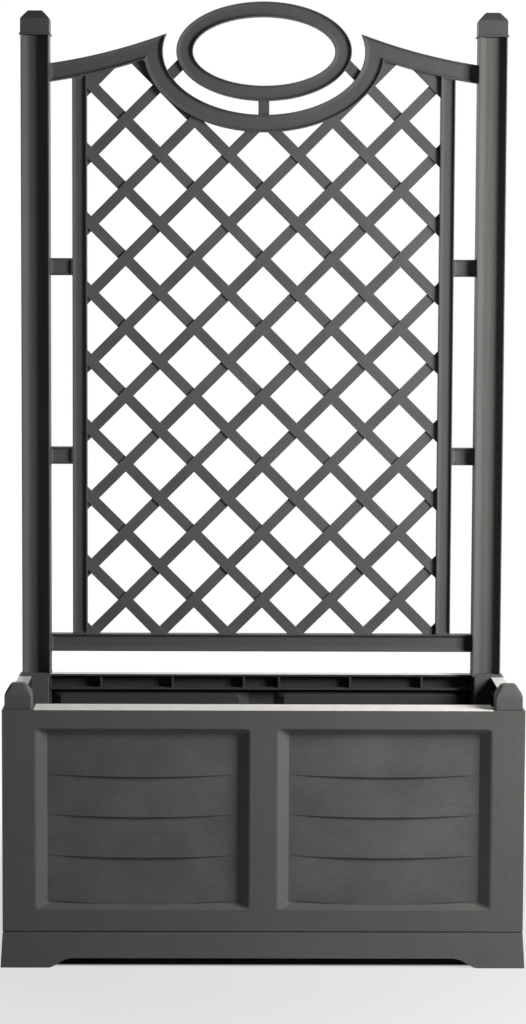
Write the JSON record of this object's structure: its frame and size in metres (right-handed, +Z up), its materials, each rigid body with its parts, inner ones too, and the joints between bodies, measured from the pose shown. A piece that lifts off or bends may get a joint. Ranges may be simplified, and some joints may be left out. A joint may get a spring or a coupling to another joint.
{
  "type": "planter with privacy screen",
  "caption": "Rectangular resin floor planter with recessed plank panels and a lift-out lattice screen between capped posts, crowned by an oval ring.",
  "frame": {"origin": "on the ground, under the middle of the box", "axes": "+Z up, -Y towards the front panel, +X to the right as seen from the front"},
  "size_m": [0.75, 0.37, 1.396],
  "materials": {
    "planter_resin": "satin anthracite moulded resin with a fine wood grain",
    "screen_resin": "satin anthracite moulded resin, finely grained on the slats"
  },
  "bodies": {
    "planter": {"base_tray": "planter_resin", "front_panel": "planter_resin", "back_panel": "planter_resin", "left_panel": "planter_resin", "right_panel": "planter_resin", "corner_post_front_left": "planter_resin", "corner_post_front_right": "planter_resin", "corner_post_rear_left": "planter_resin", "corner_post_rear_right": "planter_resin"},
    "screen": {"bottom_rail": "screen_resin", "crest": "screen_resin", "falling_slats": "screen_resin", "oval_ring": "screen_resin", "rising_slats": "screen_resin", "screen_post_left": "screen_resin", "screen_post_right": "screen_resin", "stile_left": "screen_resin", "stile_right": "screen_resin", "stub_left_lower": "screen_resin", "stub_left_upper": "screen_resin", "stub_right_lower": "screen_resin", "stub_right_upper": "screen_resin"},
    "front_cap_left": {"front_cap_left": "planter_resin"},
    "front_cap_right": {"front_cap_right": "planter_resin"},
    "post_cap_left": {"post_cap_left": "screen_resin"},
    "post_cap_right": {"post_cap_right": "screen_resin"}
  },
  "joints": [
    {"name": "screen_lift", "type": "slide", "parent": "planter", "child": "screen", "axis": [0, 0, 1], "range_m": [0, 0.11]},
    {"name": "front_cap_left_lift", "type": "slide", "parent": "planter", "child": "front_cap_left", "axis": [0, 0, 1], "range_m": [0, 0.045]},
    {"name": "front_cap_right_lift", "type": "slide", "parent": "planter", "child": "front_cap_right", "axis": [0, 0, 1], "range_m": [0, 0.045]},
    {"name": "post_cap_left_lift", "type": "slide", "parent": "screen", "child": "post_cap_left", "axis": [0, 0, 1], "range_m": [0, 0.03]},
    {"name": "post_cap_right_lift", "type": "slide", "parent": "screen", "child": "post_cap_right", "axis": [0, 0, 1], "range_m": [0, 0.03]}
  ]
}
